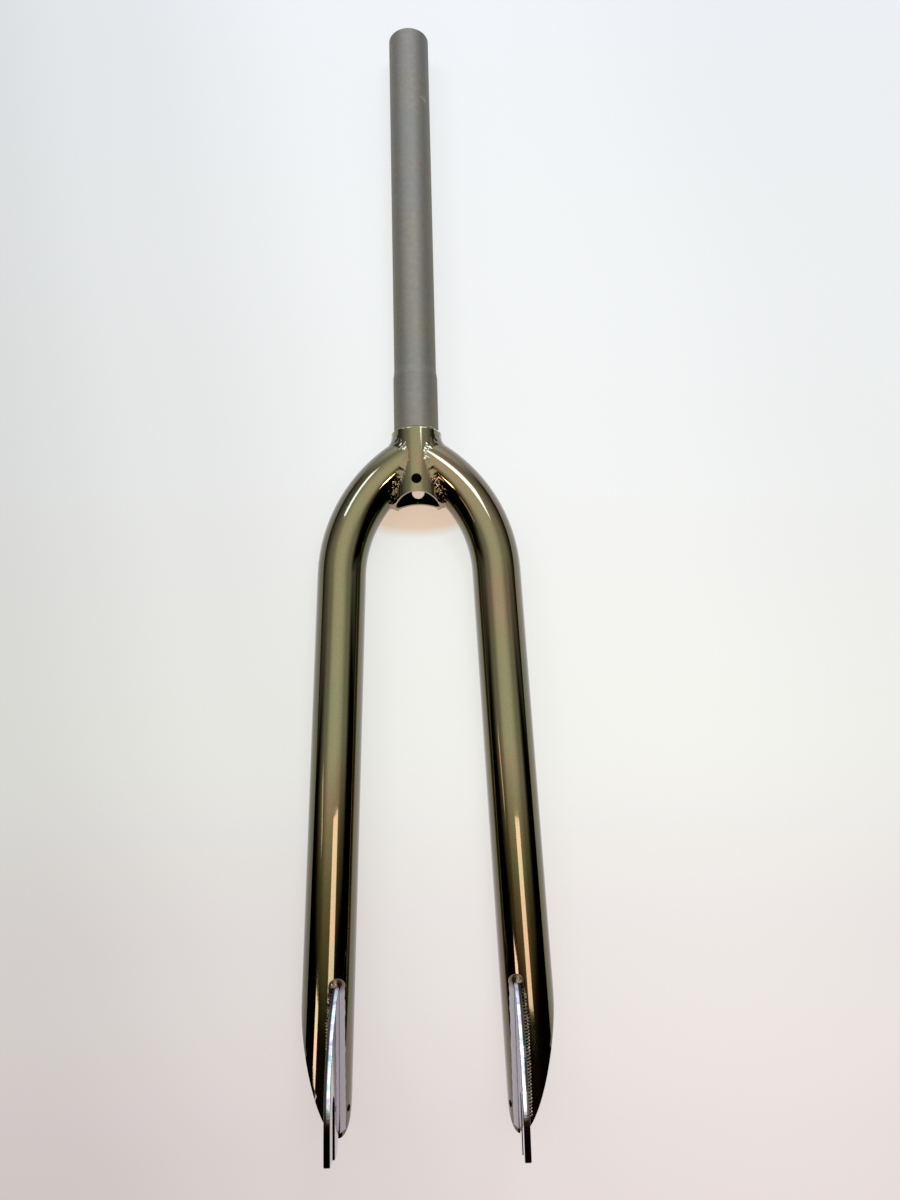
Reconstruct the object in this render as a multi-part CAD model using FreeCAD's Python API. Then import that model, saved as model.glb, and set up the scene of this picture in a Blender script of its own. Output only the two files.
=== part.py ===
import FreeCAD, Part
import math
import os

from FreeCAD import Rotation, Vector

# A bicycle fork for a threadless headset, lying on its back. Lengths are in millimetres, angles in degrees.
# X runs across the fork, Y up the steerer, Z out of the fork's front. The origin is on the steering axis,
# at the foot of the seat that carries the lower headset bearing.

# Steerer, turned from one tube together with the collar that the legs are welded to
steerer_length = 305.0
steerer_od = 28.6
steerer_bore = 25.4
steerer_edge = 1.0
butt_bore = 23.4
butt_taper = 8.0
seat_od = 30.0
seat_length = 38.0
seat_taper = 6.0
collar_margin = 1.0
collar_wall = 2.5
collar_bore_margin = 6.0
foot_margin = 1.1
arch_rise = 6.0
arch_radius = 20.0
brake_hole_rise = 14.0
brake_hole_front = 6.8
brake_hole_rear = 8.5

# Wheel: the hub that goes between the dropouts, and where its axle lies
axle_drop = 403.0
axle_offset = 42.0
axle_diameter = 9.5
axle_clearance = 0.5
hub_width = 100.0
hub_clearance = 1.2

# Legs, bent from round tube, splayed a little, with the lower end cut off steeply at the back
leg_od = 31.8
leg_wall = 1.25
leg_splay = 2.0
crown_drop = 16.8
bend_radius = 94.0
tip_drop = 30.7
end_angle = 72.6
end_turn = 42.5
cap_thickness = 1.5
vent_hole = 4.0
vent_margin = 7.5
vent_turn = 22.0

# Dropouts, flat plates let into the front of the legs
plate_thickness = 3.6
plate_edge = 0.5
plate_inset = 10.2
tongue_rise = 55.5
tongue_depth = 4.5
tongue_proud = 2.0
tongue_corner = 4.0
nose_drop = 9.0
arm_width = 10.0
arm_length = 25.7
arm_corner = 1.5
rear_arm_width = 10.0
rear_arm_length = 29.5

# Welds, as smooth fillets round each joint
crown_bead = 4.0
fusion_depth = 0.01
plate_bead_width = 2.8
plate_bead_crest = 4.0
outer_bead_width = 4.9
outer_bead_crest = 2.6
plate_bead_top = 5.5
plate_bead_foot = 22.5
plate_bead_round = 1.5

# Sizes that follow from those above
steerer_radius = steerer_od / 2
seat_radius = seat_od / 2
leg_radius = leg_od / 2
collar_radius = leg_radius + collar_margin
race_height = collar_radius - seat_radius
slot_width = axle_diameter + axle_clearance
plate_inner = hub_width / 2 + hub_clearance
reach = 2 * (steerer_length + axle_drop)

# Axis of the right leg: the straight run, and the bend that brings it to the steering axis
splay = math.radians(leg_splay)
leg_down = Vector(math.sin(splay), -math.cos(splay), 0)
leg_side = Vector(math.cos(splay), math.sin(splay), 0)
leg_at_axle = Vector(plate_inner + plate_inset, -axle_drop, 0)
crown_point = Vector(0, -crown_drop, 0)
to_centre = leg_at_axle - leg_side * bend_radius - crown_point
along = to_centre.dot(leg_down)
bend_centre_rise = along - math.sqrt(along ** 2 + bend_radius ** 2 - to_centre.dot(to_centre))
bend_foot = leg_at_axle - leg_down * bend_centre_rise
bend_centre = bend_foot - leg_side * bend_radius
bend_angle = math.degrees(leg_side.getAngle(crown_point - bend_centre))

# Foot of the collar, just below the lowest point of the legs' mitres, and the arch cut up into it
inner_bend_radius = bend_radius - leg_radius
mitre_rise = math.sqrt(inner_bend_radius ** 2 - (collar_radius - bend_centre.x) ** 2)
collar_foot = foot_margin - bend_centre.y - mitre_rise
arch_centre = collar_foot - arch_rise + arch_radius

# Plane of the right leg's cut end, which climbs to the back and outside, with its normal pointing up the leg
end_slope = math.tan(math.radians(end_angle))
climb_back = end_slope * math.cos(math.radians(end_turn))
climb_out = end_slope * math.sin(math.radians(end_turn))
end_point = leg_at_axle - leg_down * ((leg_radius * end_slope - tip_drop) / math.cos(splay))
end_normal = Vector(-climb_out, 1, climb_back).normalize()
end_reach = leg_radius * end_slope + leg_od


def rod(radius):
    """Solid round bar along the right leg: the straight run and the bend, past both of its ends."""
    length = bend_foot.distanceToPoint(end_point) + end_reach
    straight = Part.makeCylinder(radius, length, bend_foot, leg_down)
    disc = Part.Face(Part.Wire(Part.makeCircle(radius, bend_foot, leg_down)))
    bend = disc.revolve(bend_centre, Vector(0, 0, 1), bend_angle)
    return straight.fuse(bend)


def above_end(offset):
    """Half-space above the right leg's cut end, moved up the leg by an offset."""
    block = Part.makeBox(reach, reach, reach, Vector(-reach / 2, -reach / 2, 0))
    facing = Rotation(Vector(0, 0, 1), end_normal)
    block.Placement = FreeCAD.Placement(end_point + end_normal * offset, facing)
    return block


def above(height):
    """Half-space above a level."""
    return Part.makeBox(reach, reach, reach, Vector(-reach / 2, height, -reach / 2))


def turned(profile):
    """Solid of revolution about the steering axis, from (radius, height) points."""
    points = [Vector(radius, height, 0) for radius, height in profile]
    face = Part.Face(Part.makePolygon(points + points[:1]))
    return face.revolve(Vector(0, 0, 0), Vector(0, 1, 0), 360)


def collar_bar():
    """Solid bar of the collar's diameter, long enough to mitre the legs against."""
    return Part.makeCylinder(collar_radius, reach, Vector(0, -reach / 2, 0), Vector(0, 1, 0))


def edges_between(shape, one, other):
    """Edges with a face of one kind on one side and a face of another kind on the other."""
    found = []
    for edge in shape.Edges:
        sides = shape.ancestorsOfType(edge, Part.Face)
        if any(one(face) for face in sides) and any(other(face) for face in sides):
            found.append(edge)
    return found


def steerer_tube():
    bore = steerer_bore / 2
    butt = butt_bore / 2
    collar_bore = collar_radius - collar_wall
    collar_bore_end = brake_hole_rise + brake_hole_rear / 2 + collar_bore_margin - collar_foot
    body = turned([
        (collar_bore, -collar_foot),
        (collar_radius, -collar_foot),
        (collar_radius, -race_height),
        (seat_radius, 0),
        (seat_radius, seat_length),
        (steerer_radius, seat_length + seat_taper),
        (steerer_radius, steerer_length - steerer_edge),
        (steerer_radius - steerer_edge, steerer_length),
        (bore, steerer_length),
        (bore, seat_length + seat_taper + butt_taper),
        (butt, seat_length + seat_taper),
        (butt, collar_bore_end + collar_bore - butt),
        (collar_bore, collar_bore_end),
    ])
    arch = Part.makeCylinder(arch_radius, reach, Vector(0, -arch_centre, -reach / 2), Vector(0, 0, 1))
    at_hole = Vector(0, brake_hole_rise - collar_foot, 0)
    front = Part.makeCylinder(brake_hole_front / 2, 2 * collar_radius, at_hole, Vector(0, 0, 1))
    rear = Part.makeCylinder(brake_hole_rear / 2, 2 * collar_radius, at_hole, Vector(0, 0, -1))
    return body.cut([arch, front, rear])


def dropout_outline():
    """Outline of the right plate as a wire on its inner face, from (forward, height) points."""
    axle = -axle_drop
    top = axle + tongue_rise
    bottom = axle - arm_length
    rear_bottom = axle - rear_arm_length
    widest = axle - nose_drop
    back = math.sqrt(leg_radius ** 2 - plate_inset ** 2) - tongue_depth
    root = leg_radius + tongue_proud
    slot_front = axle_offset + slot_width / 2
    slot_back = axle_offset - slot_width / 2
    nose = slot_front + arm_width
    sweep_radius = ((nose - root) ** 2 + (top - widest) ** 2) / (2 * (nose - root))
    mid_turn = math.asin((top - widest) / sweep_radius) / 2
    sweep_middle = nose - sweep_radius * (1 - math.cos(mid_turn)), widest + sweep_radius * math.sin(mid_turn)

    def at(forward, height):
        return Vector(plate_inner, height, forward)

    def line(start, end):
        return Part.LineSegment(at(*start), at(*end)).toShape()

    def arc(start, middle, end):
        return Part.Arc(at(*start), at(*middle), at(*end)).toShape()

    return Part.Wire([
        line((back, top), (root, top)),
        arc((root, top), sweep_middle, (nose, widest)),
        line((nose, widest), (nose, bottom)),
        line((nose, bottom), (slot_front, bottom)),
        line((slot_front, bottom), (slot_front, axle)),
        arc((slot_front, axle), (axle_offset, axle + slot_width / 2), (slot_back, axle)),
        line((slot_back, axle), (slot_back, rear_bottom)),
        line((slot_back, rear_bottom), (slot_back - rear_arm_width, rear_bottom)),
        line((slot_back - rear_arm_width, rear_bottom), (back, axle)),
        line((back, axle), (back, top)),
    ])


def across_edges(shape, low, high, forward_from):
    """Edges that cross the plate's thickness, between two heights and forward of a line."""
    found = []
    for edge in shape.Edges:
        start, end = edge.Vertexes[0].Point, edge.Vertexes[-1].Point
        across = abs(start.x - end.x) > plate_thickness / 2
        if across and low < start.y < high and start.z > forward_from:
            found.append(edge)
    return found


def dropout():
    plate = Part.Face(dropout_outline()).extrude(Vector(plate_thickness, 0, 0))
    top = -axle_drop + tongue_rise
    slot_mouth = -axle_drop - min(arm_length, rear_arm_length)
    plate = plate.makeFillet(tongue_corner, across_edges(plate, top - plate_edge, reach, leg_radius))
    plate = plate.makeFillet(arm_corner, across_edges(plate, -reach, slot_mouth + plate_edge, 0))
    rim = [edge for edge in plate.Edges if edge.BoundBox.XLength < plate_edge]
    return plate.makeFillet(plate_edge, rim)


def vent():
    """Drill for the hole that let the gases out while the right leg was closed, on its inner side."""
    turn = math.radians(vent_turn)
    out = Vector(-math.cos(turn), 0, math.sin(turn))
    to_cut = leg_radius * (climb_out * math.cos(turn) + climb_back * math.sin(turn))
    drop = to_cut - cap_thickness / end_normal.y - vent_margin
    return Part.makeCylinder(vent_hole / 2, leg_od, end_point + leg_down * drop, out)


def leg_tube():
    """Right leg before its lower end is cut: a bent tube, mitred against the collar."""
    return rod(leg_radius).cut([rod(leg_radius - leg_wall), collar_bar()])


def right_leg_cap(plate):
    return rod(leg_radius).common(above_end(0)).cut([above_end(cap_thickness), plate])


def right_crown_weld():
    joined = rod(leg_radius).fuse(collar_bar())

    def is_bend(face):
        return isinstance(face.Surface, Part.Toroid)

    def is_collar(face):
        return isinstance(face.Surface, Part.Cylinder) and face.Surface.Center.x < collar_radius

    seam = edges_between(joined, is_bend, is_collar)
    return joined.makeFillet(crown_bead, seam).common(above(-collar_foot)).cut([joined], fusion_depth)


def bead_section(height):
    """Outline of the bead round the right plate at one height, from the leg's middle out to its crest."""
    middle = leg_at_axle - leg_down * ((height + axle_drop) / math.cos(splay))
    plate_outer = plate_inner + plate_thickness
    inner_toe = plate_inner - plate_bead_width
    outer_toe = plate_outer + outer_bead_width

    def on_leg(across, proud):
        forward = math.sqrt(leg_radius ** 2 - (across - middle.x) ** 2)
        return Vector(across, height, forward + proud)

    points = [
        Vector(inner_toe, height, 0),
        on_leg(inner_toe, 0),
        on_leg(plate_inner, plate_bead_crest),
        on_leg(plate_outer, outer_bead_crest),
        on_leg(outer_toe, 0),
        Vector(outer_toe, height, 0),
    ]
    return Part.makePolygon(points + points[:1])


def right_dropout_weld(plate):
    foot = -axle_drop - plate_bead_foot
    top = -axle_drop + tongue_rise + plate_bead_top
    bead = Part.makeLoft([bead_section(foot), bead_section(top)], True, True)
    crest = [edge for edge in bead.Edges if edge.BoundBox.ZMin > 0]
    end_rim = [edge for edge in crest if edge.BoundBox.YMin > top - plate_bead_round]
    bead = bead.makeFillet(plate_bead_round, end_rim)
    return bead.common(above_end(cap_thickness)).cut([rod(leg_radius), plate])


def mirrored(shape):
    """The shape on the fork's other side."""
    return shape.mirror(Vector(0, 0, 0), Vector(1, 0, 0))


def half_turn(shape):
    """The shape on the fork's other side, for one that is alike at front and back."""
    return shape.rotated(Vector(0, 0, 0), Vector(0, 1, 0), 180)


def main():
    os.makedirs("parts", exist_ok=True)
    tube = leg_tube()
    end = above_end(cap_thickness)
    drill = vent()
    plate = dropout()
    cap = right_leg_cap(plate)
    crown_weld = right_crown_weld()
    dropout_weld = right_dropout_weld(plate)
    nodes = {
        "steerer_tube": steerer_tube(),
        "right_leg": tube.common(end).cut([drill, plate]),
        "left_leg": half_turn(tube).common(mirrored(end)).cut([mirrored(drill), mirrored(plate)]),
        "right_leg_cap": cap,
        "left_leg_cap": mirrored(cap),
        "right_dropout": plate,
        "left_dropout": mirrored(plate),
        "right_crown_weld": crown_weld,
        "left_crown_weld": half_turn(crown_weld),
        "right_dropout_weld": dropout_weld,
        "left_dropout_weld": mirrored(dropout_weld),
    }
    for name, shape in nodes.items():
        shape.exportStep("parts/" + name + ".step")


main()
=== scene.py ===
import math

import bmesh
import bpy
from mathutils import Matrix, Vector, noise


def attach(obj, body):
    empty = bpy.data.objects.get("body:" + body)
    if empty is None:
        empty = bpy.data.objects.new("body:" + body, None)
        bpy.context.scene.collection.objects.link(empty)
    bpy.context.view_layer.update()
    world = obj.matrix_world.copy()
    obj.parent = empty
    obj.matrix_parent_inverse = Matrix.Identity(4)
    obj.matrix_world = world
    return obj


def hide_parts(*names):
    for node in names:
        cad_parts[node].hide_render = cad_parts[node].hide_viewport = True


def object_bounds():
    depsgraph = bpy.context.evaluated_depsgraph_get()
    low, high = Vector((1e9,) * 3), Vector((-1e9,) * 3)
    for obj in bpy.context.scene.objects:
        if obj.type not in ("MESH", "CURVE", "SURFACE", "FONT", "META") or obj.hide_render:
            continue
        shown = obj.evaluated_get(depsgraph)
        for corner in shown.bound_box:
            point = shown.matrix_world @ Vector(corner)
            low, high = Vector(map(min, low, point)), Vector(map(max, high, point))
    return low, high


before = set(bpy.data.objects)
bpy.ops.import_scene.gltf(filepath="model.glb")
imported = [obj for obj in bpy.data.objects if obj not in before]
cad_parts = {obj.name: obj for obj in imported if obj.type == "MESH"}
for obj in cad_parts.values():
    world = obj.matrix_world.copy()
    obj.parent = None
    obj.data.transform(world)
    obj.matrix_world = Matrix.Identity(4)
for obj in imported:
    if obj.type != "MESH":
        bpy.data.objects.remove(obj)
cad_low, cad_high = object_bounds()
floor_z = cad_low.z

# Sizes of the solids that the looks follow, in metres
collar_radius = 0.0169
collar_foot = -0.0515
leg_radius = 0.0159
leg_splay = math.radians(2.0)
leg_x_at_axle = 0.0614
bend_radius = 0.094
bend_centre = Vector((-0.0432, -0.1003, 0.0))
axle_y = -0.403
plate_inner = 0.0512
plate_thickness = 0.0036
plate_top = -0.3475

# The steerer's bore, painted near black as shade, with radii just past its walls, its painted rim with
# painted highlights along it, and its scrape, in metres
bore_radius = 0.0128
collar_bore_radius = 0.0146
collar_bore_end = -0.026
bore_blur = 0.0015
painted_rim = -0.0019
rim_blur = 0.0001
rim_glint_band = 0.0008
scrape_at = (0.0105, 0.2492, 0.0097)
scrape_reach = 0.0034

# The painted highlight along the inner side of the dropouts' front edges, in metres
highlight_foot = -0.408
highlight_fade = 0.014
highlight_width = 0.0017
highlight_blur = 0.0006

# Crown beads, in metres, with shares for waver, evenness and the depth left at the smooth top
crown_width = 0.006
crown_waver = 0.15
crown_waver_fineness = 260.0
crown_pitch = 0.0035
crown_ripple = 0.0007
crown_order = 0.35
crown_even = -0.034
crown_least = 0.28

# Dropout beads, in metres: a calm fillet inside the plate, a blob over its top and a bead outside
plate_width = 0.0028
plate_crest = 0.004
plate_foot = -0.4265
plate_waver = 0.12
plate_waver_fineness = 300.0
plate_bulge = 0.0003
plate_pitch = 0.0018
plate_ripple = 0.0004
inner_calm = 0.7
top_width = 0.0046
top_bulge = 0.0011
outer_width = 0.0049
outer_narrowest = 0.55
outer_crest = 0.0026
outer_foot = -0.4205
outer_run = 0.02
root_share = 0.3

# How deep the edges and the roots of all beads lie under the surface, in metres
buried = 0.00015
root_depth = 0.0012

# Lumps and ripples of all beads: fineness, shares and how sharply they end at a bead's edges
coarse_lumps = 300.0
fine_lumps = 620.0
fine_share = 0.6
lumps_and_ripples = 1.6
edge_power = 6

# Where the dropout beads change tone, from the plate's top and from the inner side with its painted
# reflection, and where their painted glints lie, in metres
bead_above = 0.006
bead_above_blur = 0.002
fillet_blur = 0.0004
blob_full = 0.001
blob_foot = 0.004
glint_full = 0.006
glint_bend = 0.03
glint_top = 0.0572
glint_low = 0.0588
glint_half = 0.0002
glint_reach = 0.0005

# Colours, as red, green and blue
# Painted reflection: the pale tone of the fillets inside the dropouts
fillet_painted_reflection = (0.36, 0.36, 0.39)
blob_golden = (0.11, 0.068, 0.024)
# Painted highlights: the pale glints along the outer dropout beads
painted_glint = (0.8, 0.78, 0.78)
# Painted shade: the near black of the dropouts' cut edges
edge_painted_shade = (0.02, 0.017, 0.013)
scuff_pale = (0.38, 0.38, 0.365)
scrape_bright = (0.62, 0.5, 0.45)
# Painted highlights: the pale dashes along the collar's rim
rim_painted_highlight = (0.75, 0.76, 0.74)
# Painted shade: the near black inside the bore
bore_painted_shade = (0.012, 0.011, 0.009)
# Painted shadow: the warm, darker patch on the floor below the crown
warm_painted_shadow = (0.86, 0.63, 0.44)
cool = (0.5, 0.66, 1.0)
pink = (1.0, 0.74, 0.8)
peach = (1.0, 0.72, 0.55)

# Floor, in metres: its size, the share that shines by itself, the slant of its painted shade and its painted
# warm shadow below the crown
floor_size = 30
floor_plainness = 0.72
floor_slant = 0.2
warm_shadow_share = 0.8
warm_shadow_y = -0.046
warm_shadow_reach = 0.0228
warm_shadow_shape = (0.43, 1.0, 1.0)

# Light: the strength of the surroundings, the height of the far lamps and the spread of the aimed ones
glow_strength = 1.9
lamp_height = 1.2
narrow_spread = 6

# Camera at the photo's place, in metres, degrees and millimetres
camera_place = (0.019047, -0.225408, 0.576513)
camera_turn = (10.7976, 0.2166, -1.4945)
camera_lens = 27.0017
camera_film = 36.0


# Node helpers

def tree_of(name):
    """A new material, its nodes and its shader."""
    material = bpy.data.materials.new(name)
    material.use_nodes = True
    tree = material.node_tree
    return material, tree, tree.nodes["Principled BSDF"]


def add(tree, kind, **values):
    """A new node; values are its properties, or inputs when their name is an input's."""
    node = tree.nodes.new(kind)
    for key, value in values.items():
        if hasattr(node, key):
            setattr(node, key, value)
        else:
            node.inputs[key.title()].default_value = value
    return node


def plug(tree, value, socket):
    """Feed a socket from another node, or give it a value of its own."""
    if isinstance(value, bpy.types.NodeSocket):
        tree.links.new(value, socket)
    else:
        socket.default_value = value


def ramp(tree, source, stops, interpolation="EASE"):
    """A colour that follows the source through its stops."""
    node = add(tree, "ShaderNodeValToRGB")
    node.color_ramp.interpolation = interpolation
    elements = node.color_ramp.elements
    while len(elements) < len(stops):
        elements.new(0.5)
    for element, (place, colour) in zip(elements, stops):
        element.position = place
        element.color = (*colour, 1.0)
    plug(tree, source, node.inputs["Fac"])
    return node.outputs["Color"]


def mixed(tree, share, first, second, blend="MIX"):
    """Colour between two others, by a share that varies over the surface."""
    node = add(tree, "ShaderNodeMix", data_type="RGBA", blend_type=blend)
    for value, name in ((share, "Factor_Float"), (first, "A_Color"), (second, "B_Color")):
        socket = next(item for item in node.inputs if item.identifier == name)
        plug(tree, (*value, 1.0) if isinstance(value, tuple) else value, socket)
    return next(item for item in node.outputs if item.identifier == "Result_Color")


def tinted(tree, colour, tint):
    """One varying colour times another."""
    return mixed(tree, 1.0, colour, tint, "MULTIPLY")


def between(tree, source, low, high, start=0.0, end=1.0):
    """A number that goes from start to end as the source goes from low to high, and stays there beyond."""
    node = add(tree, "ShaderNodeMapRange")
    for name, value in (("From Min", low), ("From Max", high), ("To Min", start), ("To Max", end)):
        node.inputs[name].default_value = value
    plug(tree, source, node.inputs["Value"])
    return node.outputs["Result"]


def maths(tree, operation, first, second=0.0):
    """A number worked out from two others, or from the first alone."""
    node = add(tree, "ShaderNodeMath", operation=operation)
    plug(tree, first, node.inputs[0])
    plug(tree, second, node.inputs[1])
    return node.outputs[0]


def product(tree, first, *others):
    """Numbers multiplied together."""
    for other in others:
        first = maths(tree, "MULTIPLY", first, other)
    return first


def place_of(tree, kind="Object"):
    """Where each point is, in the object's own metres, or which way it lies in the surroundings."""
    return add(tree, "ShaderNodeTexCoord").outputs[kind]


def parts_of(tree, vector):
    """X, Y and Z of a vector."""
    node = add(tree, "ShaderNodeSeparateXYZ")
    plug(tree, vector, node.inputs[0])
    return node.outputs


def scaled(tree, vector, factors):
    """A vector with a factor along each axis."""
    node = add(tree, "ShaderNodeVectorMath", operation="MULTIPLY")
    plug(tree, vector, node.inputs[0])
    plug(tree, factors, node.inputs[1])
    return node.outputs["Vector"]


def apart_from(tree, vector, point):
    """How far a place is from a point."""
    node = add(tree, "ShaderNodeVectorMath", operation="DISTANCE")
    plug(tree, vector, node.inputs[0])
    plug(tree, point, node.inputs[1])
    return node.outputs["Value"]


def clouds(tree, scale, detail, stretch=None):
    """Noise over the object, in its own metres, with an optional factor along each axis."""
    place = place_of(tree)
    if stretch:
        place = scaled(tree, place, stretch)
    texture = add(tree, "ShaderNodeTexNoise", scale=scale, detail=detail)
    plug(tree, place, texture.inputs["Vector"])
    return texture.outputs["Fac"]


def wandering(tree, scale, detail, least, most):
    """A number that wanders between two values over the surface."""
    return between(tree, clouds(tree, scale, detail), 0.3, 0.7, least, most)


def bump(tree, shader, height, distance):
    """Fine relief of the surface, as deep as the distance in metres."""
    node = add(tree, "ShaderNodeBump", distance=distance)
    plug(tree, height, node.inputs["Height"])
    plug(tree, node.outputs["Normal"], shader.inputs["Normal"])


def shown(tree, share, usual, seen, output):
    """Send one shader to the output, with a share of another over it."""
    node = add(tree, "ShaderNodeMixShader")
    plug(tree, share, node.inputs["Fac"])
    plug(tree, usual.outputs[0], node.inputs[1])
    plug(tree, seen.outputs[0], node.inputs[2])
    plug(tree, node.outputs[0], tree.nodes[output].inputs["Surface"])


# Finishes

def smoke_tone(tree):
    """Olive smoke over bright metal, drifting a little to green and to brown, with a fine flake."""
    drift = ramp(tree, clouds(tree, scale=22.0, detail=2.0), [
        (0.32, (0.115, 0.124, 0.046)), (0.5, (0.136, 0.118, 0.046)), (0.68, (0.158, 0.109, 0.05))])
    flake = ramp(tree, clouds(tree, scale=1500.0, detail=1.0), [
        (0.35, (0.93, 0.93, 0.93)), (0.65, (1.06, 1.06, 1.07))])
    return tinted(tree, drift, flake)


def lacquer(shader):
    """Metal under a clear gloss."""
    shader.inputs["Metallic"].default_value = 1.0
    shader.inputs["Coat Weight"].default_value = 1.0
    shader.inputs["Coat Roughness"].default_value = 0.02
    shader.inputs["Coat IOR"].default_value = 1.5
    shader.inputs["Specular Tint"].default_value = (0.85, 0.82, 1.0, 1.0)


def smoke_finish():
    """The smoke on the legs and their caps."""
    material, tree, shader = tree_of("smoke_finish")
    lacquer(shader)
    plug(tree, smoke_tone(tree), shader.inputs["Base Color"])
    plug(tree, wandering(tree, scale=60.0, detail=2.0, least=0.05, most=0.09), shader.inputs["Roughness"])
    bump(tree, shader, clouds(tree, scale=300.0, detail=1.0), distance=0.000006)
    return material


def bead_tone(tree, parts, from_middle):
    """Smoke that gathers unevenly on a bead, with a pale painted reflection inside the dropouts, and golden
    over their tops.
    """
    heat = ramp(tree, clouds(tree, scale=190.0, detail=2.0), [
        (0.35, (0.1, 0.088, 0.045)), (0.5, (0.14, 0.113, 0.05)), (0.62, (0.17, 0.112, 0.052)),
        (0.75, (0.1, 0.088, 0.085))])
    highest = plate_top + bead_above
    at_plate = between(tree, parts["Y"], highest + bead_above_blur, highest)
    # Painted reflection: the fillet inside the plate is pale where it mirrors the floor
    inner = between(tree, from_middle, plate_inner - fillet_blur, plate_inner, 1.0, 0.0)
    over = between(tree, parts["Y"], plate_top - blob_foot, plate_top - blob_full)
    heat = mixed(tree, product(tree, at_plate, inner), heat, fillet_painted_reflection)
    return mixed(tree, product(tree, at_plate, over), heat, blob_golden)


def bead_glints(tree, parts, from_middle):
    """Share of the painted glints along the outside of the dropouts, in step with the bead's ripples."""
    start = plate_top - blob_foot
    line = between(tree, parts["Y"], start, plate_top - glint_bend, glint_top, glint_low)
    from_line = maths(tree, "ABSOLUTE", maths(tree, "SUBTRACT", from_middle, line))
    in_line = between(tree, from_line, glint_half, glint_reach, 1.0, 0.0)
    below = between(tree, parts["Y"], start, plate_top - glint_full)
    wave = maths(tree, "SINE", maths(tree, "MULTIPLY", parts["Y"], 2 * math.pi / plate_pitch))
    uneven = maths(tree, "ADD", wave, wandering(tree, scale=330.0, detail=1.0, least=-0.7, most=0.7))
    return product(tree, in_line, below, between(tree, uneven, 0.5, 0.9))


def weld_finish():
    """The finish of the beads, in which the painted glints aren't metal."""
    material, tree, shader = tree_of("weld_finish")
    lacquer(shader)
    parts = parts_of(tree, place_of(tree))
    from_middle = maths(tree, "ABSOLUTE", parts["X"])
    glints = bead_glints(tree, parts, from_middle)
    # Painted highlights: pale, non-metal glints on the ripple crests of the outer beads
    tone = mixed(tree, glints, bead_tone(tree, parts, from_middle), painted_glint)
    plug(tree, tone, shader.inputs["Base Color"])
    plug(tree, between(tree, glints, 0.0, 1.0, 1.0, 0.0), shader.inputs["Metallic"])
    plug(tree, wandering(tree, scale=300.0, detail=1.0, least=0.06, most=0.12), shader.inputs["Roughness"])
    bump(tree, shader, clouds(tree, scale=700.0, detail=1.0), distance=0.00001)
    return material


def plate_finish():
    """The smoke on the dropouts; their cut edges keep their cutting marks and carry painted shade, with a
    painted highlight along the inner side of the front edge.
    """
    material, tree, shader = tree_of("plate_finish")
    lacquer(shader)
    normal = parts_of(tree, add(tree, "ShaderNodeNewGeometry").outputs["Normal"])
    parts = parts_of(tree, place_of(tree))
    from_middle = maths(tree, "ABSOLUTE", parts["X"])
    edge = between(tree, maths(tree, "ABSOLUTE", normal["X"]), 0.45, 0.85, 1.0, 0.0)
    # Painted highlight: a bright strip on the upper edges, along their inner side, for light glinting on the
    # rounded edge
    curve = between(tree, parts["Y"], highlight_foot, highlight_foot + highlight_fade)
    highlight_to = plate_inner + highlight_width
    strip = between(tree, from_middle, highlight_to, highlight_to + highlight_blur, 1.0, 0.0)
    bright = ramp(tree, clouds(tree, scale=150.0, detail=2.0), [
        (0.35, (0.36, 0.58, 0.66)), (0.5, (0.72, 0.77, 0.82)), (0.65, (0.48, 0.42, 0.7))])
    # Painted shade: the cut edges are near black
    tone = mixed(tree, edge, smoke_tone(tree), edge_painted_shade)
    tone = mixed(tree, product(tree, edge, curve, strip), tone, bright)
    plug(tree, tone, shader.inputs["Base Color"])
    plug(tree, between(tree, edge, 0.0, 1.0, 1.0, 0.3), shader.inputs["Coat Weight"])
    plug(tree, between(tree, edge, 0.0, 1.0, 0.1, 0.16), shader.inputs["Roughness"])
    marks = clouds(tree, scale=900.0, detail=2.0, stretch=(0.05, 1.0, 1.0))
    bump(tree, shader, product(tree, marks, edge), distance=0.00006)
    return material


def steel_tone(tree, place, parts):
    """Bare grey steel, tinted a little warmer towards its foot as painted light from the surroundings, with
    scuffs and a bright scrape near its top.
    """
    grain = ramp(tree, clouds(tree, scale=300.0, detail=2.0), [
        (0.3, (0.258, 0.248, 0.222)), (0.5, (0.27, 0.259, 0.232)), (0.72, (0.287, 0.276, 0.247))])
    scuffing = clouds(tree, scale=160.0, detail=2.0, stretch=(3.0, 0.4, 3.0))
    scuffs = between(tree, scuffing, 0.72, 0.8, 0.0, 0.4)
    # Painted light: a warm tint from the surroundings, strongest at the steerer's foot
    warmth = ramp(tree, between(tree, parts["Y"], 0.0, 0.3), [
        (0.0, (0.96, 0.95, 0.84)), (0.6, (0.98, 0.97, 0.88)), (1.0, (1.0, 0.985, 0.98))])
    drift = ramp(tree, clouds(tree, scale=28.0, detail=2.0), [
        (0.35, (1.03, 0.99, 0.94)), (0.65, (0.97, 0.98, 1.04))])
    steel = mixed(tree, scuffs, grain, scuff_pale)
    steel = tinted(tree, tinted(tree, steel, warmth), drift)
    from_scrape = apart_from(tree, place, scrape_at)
    near = between(tree, from_scrape, 0.3 * scrape_reach, scrape_reach, 1.0, 0.0)
    streaky = between(tree, clouds(tree, scale=900.0, detail=1.0, stretch=(0.4, 1.0, 0.4)), 0.48, 0.58)
    return mixed(tree, product(tree, near, streaky), steel, scrape_bright)


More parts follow.
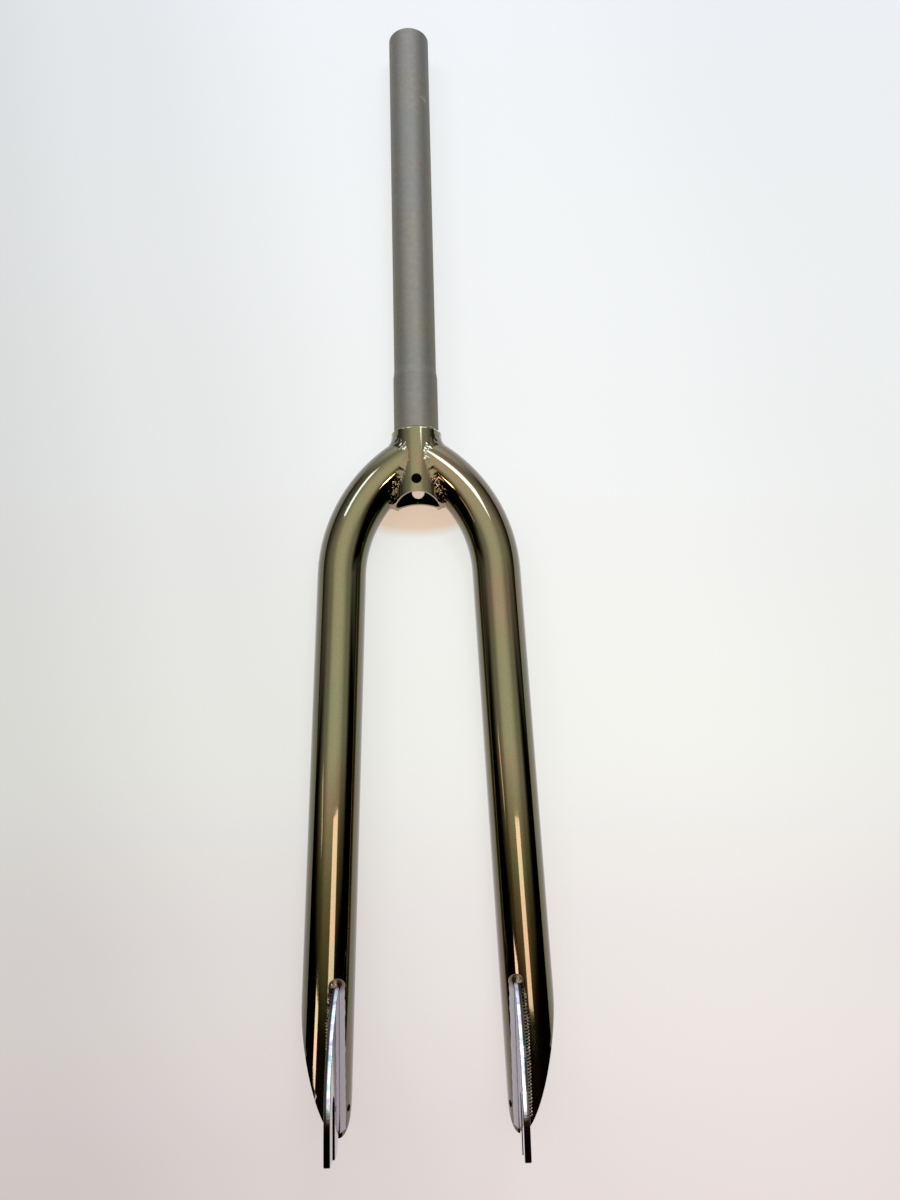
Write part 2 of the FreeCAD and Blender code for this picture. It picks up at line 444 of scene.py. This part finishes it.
def steerer_finish():
    """Bare steel on the steerer, smoke on the collar with painted highlights dashed along its rim, and a bore
    painted near black as shade.
    """
    material, tree, shader = tree_of("steerer_finish")
    shader.inputs["Metallic"].default_value = 1.0
    shader.inputs["Coat Roughness"].default_value = 0.03
    place = place_of(tree)
    parts = parts_of(tree, place)
    painted = between(tree, parts["Y"], painted_rim - rim_blur, painted_rim + rim_blur, 1.0, 0.0)
    bore = between(tree, parts["Y"], collar_bore_end - bore_blur, collar_bore_end + bore_blur,
                   collar_bore_radius, bore_radius)
    from_axis = apart_from(tree, scaled(tree, place, (1, 0, 1)), (0, 0, 0))
    inside = maths(tree, "LESS_THAN", from_axis, bore)
    # Painted highlights: pale dashes in a thin band just below the collar's rim, where light glints on its
    # edge
    rim = between(tree, parts["Y"], painted_rim - rim_glint_band, painted_rim - 0.5 * rim_glint_band)
    rim_glints = between(tree, clouds(tree, scale=420.0, detail=1.0, stretch=(1.0, 0.2, 1.0)), 0.5, 0.54)
    tone = mixed(tree, painted, steel_tone(tree, place, parts), smoke_tone(tree))
    tone = mixed(tree, product(tree, rim, painted, rim_glints), tone, rim_painted_highlight)
    # Painted shade: inside the bore the colour is near black
    plug(tree, mixed(tree, inside, tone, bore_painted_shade), shader.inputs["Base Color"])
    plug(tree, between(tree, painted, 0.0, 1.0, 0.62, 0.07), shader.inputs["Roughness"])
    plug(tree, maths(tree, "SUBTRACT", painted, inside), shader.inputs["Coat Weight"])
    bump(tree, shader, clouds(tree, scale=300.0, detail=1.0), distance=0.000005)
    return material


smoke = smoke_finish()
weld = weld_finish()
plate = plate_finish()
finishes = {"steerer_tube": steerer_finish(), "left_dropout": plate, "right_dropout": plate}
for name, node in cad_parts.items():
    node.data.materials.clear()
    node.data.materials.append(finishes.get(name, smoke))


# Weld beads

def swept(name, rows, closed, mirror):
    """A closed mesh through rings of points, turned over to the left side if asked."""
    count = len(rows[0])
    points = [Vector((-p.x, p.y, p.z)) if mirror else p for row in rows for p in row]
    faces = []
    for i in range(len(rows) if closed else len(rows) - 1):
        near = i * count
        far = (i + 1) % len(rows) * count
        for j in range(count):
            k = (j + 1) % count
            faces.append((near + j, near + k, far + k, far + j))
    if not closed:
        faces.append(tuple(range(count)))
        faces.append(tuple(range(len(points) - count, len(points))))
    mesh = bpy.data.meshes.new(name)
    mesh.from_pydata(points, [], faces)
    shell = bmesh.new()
    shell.from_mesh(mesh)
    bmesh.ops.recalc_face_normals(shell, faces=shell.faces)
    shell.to_mesh(mesh)
    shell.free()
    mesh.shade_smooth()
    mesh.materials.append(weld)
    piece = bpy.data.objects.new(name, mesh)
    bpy.context.collection.objects.link(piece)
    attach(piece, "root")
    return piece


def ripple(travel, share, pitch):
    """Height of a bead's ripples, which bow along the bead, from -0.5 in the valleys to 0.5 on the crests."""
    return abs(math.sin(math.pi * (travel / pitch + 0.5 * (2 * share - 1) ** 2))) - 0.5


def crown_seam(turn):
    """Point on the seam between the right leg and the collar, and the normals of both there."""
    z = leg_radius * math.sin(turn)
    reach = bend_radius + leg_radius * math.cos(turn)
    x = math.sqrt(collar_radius ** 2 - z ** 2)
    y = bend_centre.y + math.sqrt(reach ** 2 - (x - bend_centre.x) ** 2)
    point = Vector((x, y, z))
    outward = Vector((x - bend_centre.x, y - bend_centre.y, 0)).normalized()
    on_collar = Vector((x, 0, z)).normalized()
    on_leg = outward * math.cos(turn) + Vector((0, 0, math.sin(turn)))
    return point, on_collar, on_leg


def onto_collar(point):
    """The same point, moved to just under the collar's surface."""
    flat = Vector((point.x, 0, point.z)).normalized() * (collar_radius - buried)
    return Vector((flat.x, point.y, flat.z))


def onto_leg(point):
    """The same point, moved to just under the surface of the leg's bend."""
    outward = Vector((point.x - bend_centre.x, point.y - bend_centre.y, 0)).normalized()
    middle = bend_centre + outward * bend_radius
    return middle + (point - middle).normalized() * (leg_radius - buried)


def bead_ring(start, control, end, out, root, travel, pitch, depth, order):
    """Ring round a bead: a rippled, lumpy curve from one surface to the other, and a point under it."""
    steps = 14
    ring = []
    for j in range(steps + 1):
        share = j / steps
        flat = start.lerp(control, share).lerp(control.lerp(end, share), share)
        lump = noise.noise(flat * coarse_lumps) + fine_share * noise.noise(flat * fine_lumps)
        swell = order * ripple(travel, share, pitch) + (lumps_and_ripples - order) * lump
        swell *= (1 - (2 * share - 1) ** edge_power) * depth
        ring.append(flat + out * swell)
    ring.append(root)
    return ring


def crown_weld(side, mirror):
    """A smooth fillet all round the seam, which grows lumpy down towards the collar's foot."""
    count = 420
    seam = [crown_seam(2 * math.pi * i / count) for i in range(count)]
    length = sum((seam[i][0] - seam[i - 1][0]).length for i in range(count))
    pitch = length / round(length / crown_pitch)
    travel = 0.0
    rows = []
    for i, (point, on_collar, on_leg) in enumerate(seam):
        ahead = seam[(i + 1) % count][0] - seam[i - 1][0]
        travel += (point - seam[i - 1][0]).length if i else 0.0
        up_collar = ahead.cross(on_collar).normalized()
        up_leg = ahead.cross(on_leg).normalized()
        up_collar *= math.copysign(1, up_collar.dot(on_leg))
        up_leg *= math.copysign(1, up_leg.dot(on_collar))
        out = (on_collar + on_leg).normalized()
        width = crown_width * (1 + crown_waver * noise.noise(point * crown_waver_fineness))
        start = onto_collar(point + up_collar * width)
        end = onto_leg(point + up_leg * width)
        down = min(max((point.y - crown_even) / (collar_foot - crown_even), 0), 1)
        depth = crown_ripple * (crown_least + (1 - crown_least) * down)
        root = point - out * root_depth
        ring = bead_ring(start, point, end, out, root, travel, pitch, depth, crown_order)
        for spot in ring:
            spot.y = max(spot.y, collar_foot)
        rows.append(ring)
    piece = swept(side + "_crown_bead", rows, True, mirror)
    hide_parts(side + "_crown_weld")


def front_of_leg(x, y):
    """How far forward the right leg's surface is."""
    middle = leg_x_at_axle - (y - axle_y) * math.tan(leg_splay)
    return math.sqrt(leg_radius ** 2 - (x - middle) ** 2)


def plate_route():
    """Places round the right plate where it leaves the leg: up inside, over the top and down outside."""
    step = 0.0003
    turns = 30
    half = plate_thickness / 2
    middle = plate_inner + half
    outer = plate_inner + plate_thickness
    shoulder = plate_top - half
    up = [(plate_inner, plate_foot + i * step, math.pi) for i in range(int((shoulder - plate_foot) / step))]
    over = []
    for i in range(turns + 1):
        angle = math.pi * (1 - i / turns)
        over.append((middle + half * math.cos(angle), shoulder + half * math.sin(angle), angle))
    down = [(outer, shoulder - i * step, 0.0) for i in range(1, int((shoulder - outer_foot) / step))]
    return up + over + down


def dropout_weld(side, mirror):
    """A sloping fillet inside the plate, a blob over its top and a rippled bead down its outside."""
    rows = []
    travel = 0.0
    last = None
    for x, y, angle in plate_route():
        spot = Vector((x, y, 0))
        travel += (spot - last).length if last else 0.0
        last = spot
        aside = Vector((math.cos(angle), math.sin(angle), 0))
        over = math.sin(angle)
        inside = (1 - math.cos(angle)) / 2
        below = min((plate_top - y) / outer_run, 1)
        outer = outer_width * (outer_narrowest + (1 - outer_narrowest) * below)
        width = outer + (plate_width - outer) * inside
        width += (top_width - width) * over
        width *= 1 + plate_waver * noise.noise(spot * plate_waver_fineness)
        start = spot - aside * buried
        start.z = front_of_leg(x, y) + outer_crest + (plate_crest - outer_crest) * inside
        toe = spot + aside * width
        toe.z = front_of_leg(toe.x, toe.y) - buried
        slope = (toe - start).normalized()
        out = (Vector((0, 0, 1)) - slope * slope.z).normalized()
        control = (start + toe) / 2 + out * (plate_bulge + top_bulge * over)
        root = spot + aside * width * root_share
        root.z = front_of_leg(root.x, root.y) - root_depth
        depth = plate_ripple * (1 - inner_calm * inside)
        rows.append(bead_ring(start, control, toe, out, root, travel, plate_pitch, depth, 1.0))
    piece = swept(side + "_dropout_bead", rows, False, mirror)
    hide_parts(side + "_dropout_weld")


for side in ("right", "left"):
    crown_weld(side, side == "left")
    dropout_weld(side, side == "left")


# Stage: floor, surroundings, lamps and camera

def floor():
    """A plain pale floor, with painted shade that darkens it to the left, pink towards the dropouts, and a
    painted warm shadow below the crown.
    """
    material, tree, shader = tree_of("floor")
    place = place_of(tree)
    parts = parts_of(tree, place)
    slant = maths(tree, "MULTIPLY", parts["Y"], floor_slant)
    slanted = maths(tree, "ADD", parts["X"], slant)
    # Painted shade: the floor's colour darkens to the left, a little more towards the dropouts
    level = ramp(tree, between(tree, slanted, -0.4, 0.4), [
        (0.1, (0.77, 0.77, 0.77)), (0.3, (0.88, 0.88, 0.88)), (0.5, (0.985, 0.985, 0.985)),
        (0.65, (1.0, 1.0, 1.0)), (0.9, (0.95, 0.95, 0.95))])
    tint = ramp(tree, between(tree, parts["Y"], -0.5, 0.4), [
        (0.0, (0.86, 0.775, 0.755)), (0.17, (0.895, 0.85, 0.82)), (0.34, (0.95, 0.955, 0.9)),
        (0.62, (0.95, 0.965, 0.95)), (1.0, (0.94, 0.96, 0.97))])
    # Painted shadow: a darker, warm patch below the crown, where the fork shades the floor and its warm metal
    # throws light
    from_warm_shadow = apart_from(tree, scaled(tree, place, warm_shadow_shape), (0, warm_shadow_y, 0))
    warmth = between(tree, from_warm_shadow, 0.7 * warm_shadow_reach, warm_shadow_reach, warm_shadow_share, 0.0)
    colour = mixed(tree, warmth, tinted(tree, level, tint), warm_painted_shadow)
    plug(tree, colour, shader.inputs["Base Color"])
    shader.inputs["Roughness"].default_value = 0.9
    shader.inputs["Specular IOR Level"].default_value = 0.0
    plain = add(tree, "ShaderNodeEmission")
    plug(tree, colour, plain.inputs["Color"])
    path = add(tree, "ShaderNodeLightPath")
    seen = maths(tree, "MAXIMUM", path.outputs["Is Camera Ray"], path.outputs["Is Glossy Ray"])
    shown(tree, maths(tree, "MULTIPLY", seen, floor_plainness), shader, plain, "Material Output")
    bpy.ops.mesh.primitive_plane_add(size=floor_size, location=(0, 0, floor_z))
    plane = bpy.context.object
    plane.name = "floor"
    plane.data.materials.append(material)


def at(degrees):
    """Place on a ramp that runs from 90 degrees on one side to 90 degrees on the other."""
    return (degrees + 90) / 180


def grey(level):
    """A slightly warm grey."""
    return (level, 0.985 * level, 0.93 * level)


def surroundings():
    """A soft light overhead that fades into a dark room, and a cool window past the steerer's end."""
    world = bpy.data.worlds.new("surroundings")
    bpy.context.scene.world = world
    world.use_nodes = True
    tree = world.node_tree
    parts = parts_of(tree, place_of(tree, "Generated"))
    quarter = math.pi / 2
    across = maths(tree, "ARCTAN2", parts["X"], parts["Z"])
    along = maths(tree, "ARCTAN2", parts["Y"], parts["Z"])
    sideways = between(tree, across, -quarter, quarter)
    dark = grey(0.002)
    narrow = ramp(tree, sideways, [
        (at(-90), dark), (at(-76), dark), (at(-64), grey(0.07)), (at(-50), grey(0.32)),
        (at(-36), grey(0.45)), (at(-24), grey(0.86)), (at(-8), grey(1.0)), (at(8), grey(1.0)),
        (at(22), grey(0.8)), (at(34), grey(0.46)), (at(48), grey(0.36)), (at(58), grey(0.06)),
        (at(68), dark), (at(90), dark)], "CARDINAL")
    wide = ramp(tree, sideways, [
        (at(-90), grey(0.06)), (at(-72), grey(0.18)), (at(-54), grey(0.38)), (at(-38), grey(0.58)),
        (at(-20), grey(0.85)), (at(5), grey(1.0)), (at(20), grey(0.85)), (at(36), grey(0.62)),
        (at(51), grey(0.5)), (at(68), grey(0.26)), (at(82), grey(0.05)), (at(90), grey(0.03))], "CARDINAL")
    widening = between(tree, along, math.radians(14), math.radians(34))
    glow = mixed(tree, widening, narrow, wide)
    fade = ramp(tree, between(tree, along, -quarter, quarter), [
        (at(-90), (0.1, 0.065, 0.04)), (at(-45), (0.01, 0.006, 0.004)), (at(-16), (0.008, 0.006, 0.004)),
        (at(-14), (0.035, 0.026, 0.015)), (at(-12), (0.17, 0.13, 0.075)), (at(-10), (0.23, 0.18, 0.11)),
        (at(-7), (0.36, 0.31, 0.22)), (at(-3), (0.62, 0.58, 0.5)), (at(1), (0.92, 0.92, 0.92)),
        (at(20), (0.92, 0.92, 0.92)), (at(34), (0.75, 0.75, 0.75)), (at(48), (0.55, 0.55, 0.55)),
        (at(90), (0.45, 0.45, 0.45))], "LINEAR")
    window = ramp(tree, between(tree, parts["Y"], 0.0, 1.0), [
        (0.72, (0, 0, 0)), (0.9, (0.5, 0.57, 0.65)), (1.0, (0.6, 0.66, 0.74))])
    backing = tree.nodes["Background"]
    plug(tree, mixed(tree, 1.0, tinted(tree, glow, fade), window, "ADD"), backing.inputs["Color"])
    backing.inputs["Strength"].default_value = glow_strength
    white = add(tree, "ShaderNodeBackground")
    white.inputs["Color"].default_value = (0.87, 0.89, 0.86, 1)
    path = add(tree, "ShaderNodeLightPath")
    shown(tree, path.outputs["Is Camera Ray"], backing, white, "World Output")


def strip_lamp(name, start, end, width, power, colour, target=(0, 0, 0), spread=180):
    """A long thin lamp between two points, facing the fork's crown or another target, within a spread."""
    start = Vector(start)
    end = Vector(end)
    lamp = bpy.data.lights.new(name, "AREA")
    lamp.shape = "RECTANGLE"
    lamp.size = (end - start).length
    lamp.size_y = width
    lamp.energy = power
    lamp.color = colour
    lamp.spread = math.radians(spread)
    holder = bpy.data.objects.new(name, lamp)
    bpy.context.collection.objects.link(holder)
    along = (end - start).normalized()
    middle = (start + end) / 2
    back = (middle - Vector(target)).normalized()
    back = (back - along * back.dot(along)).normalized()
    across = back.cross(along)
    holder.matrix_world = Matrix((along, across, back)).transposed().to_4x4()
    holder.location = middle
    holder.visible_camera = False


def camera():
    """The camera, placed and turned as in the photo."""
    data = bpy.data.cameras.new("camera")
    data.lens = camera_lens
    data.sensor_width = camera_film
    data.clip_start = 0.01
    holder = bpy.data.objects.new("camera", data)
    bpy.context.collection.objects.link(holder)
    holder.rotation_euler = [math.radians(turn) for turn in camera_turn]
    holder.location = camera_place
    bpy.context.scene.camera = holder


floor()
surroundings()
strip_lamp("lamp_right", (0.14, 0.73, lamp_height), (0.6, 0.64, lamp_height),
           width=0.32, power=4.6, colour=cool)
strip_lamp("lamp_left", (-0.99, 0.75, lamp_height), (-0.81, 1.21, lamp_height),
           width=0.28, power=4.2, colour=cool)
strip_lamp("lamp_low", (-1.2, -0.75, lamp_height), (-0.8, -0.75, lamp_height),
           width=0.18, power=1.35, colour=pink)
strip_lamp("lamp_near", (0.116, -0.285, 0.65), (0.123, -0.52, 0.65),
           width=0.2, power=0.64, colour=pink)
strip_lamp("lamp_side", (-1.4, -0.18, lamp_height), (-1.1, -0.36, lamp_height),
           width=0.08, power=0.2, colour=peach)
strip_lamp("lamp_peach_right", (0.575, -0.368, 1.185), (0.575, -0.232, 1.215),
           width=0.08, power=0.002, colour=peach, target=(-0.02, -0.038, 0.015), spread=narrow_spread)
strip_lamp("lamp_peach_left", (-0.805, -0.418, 1.181), (-0.805, -0.272, 1.219),
           width=0.08, power=0.002, colour=peach, target=(0.021, -0.04, 0.015), spread=narrow_spread)
camera()
bpy.context.scene.view_settings.view_transform = "Standard"
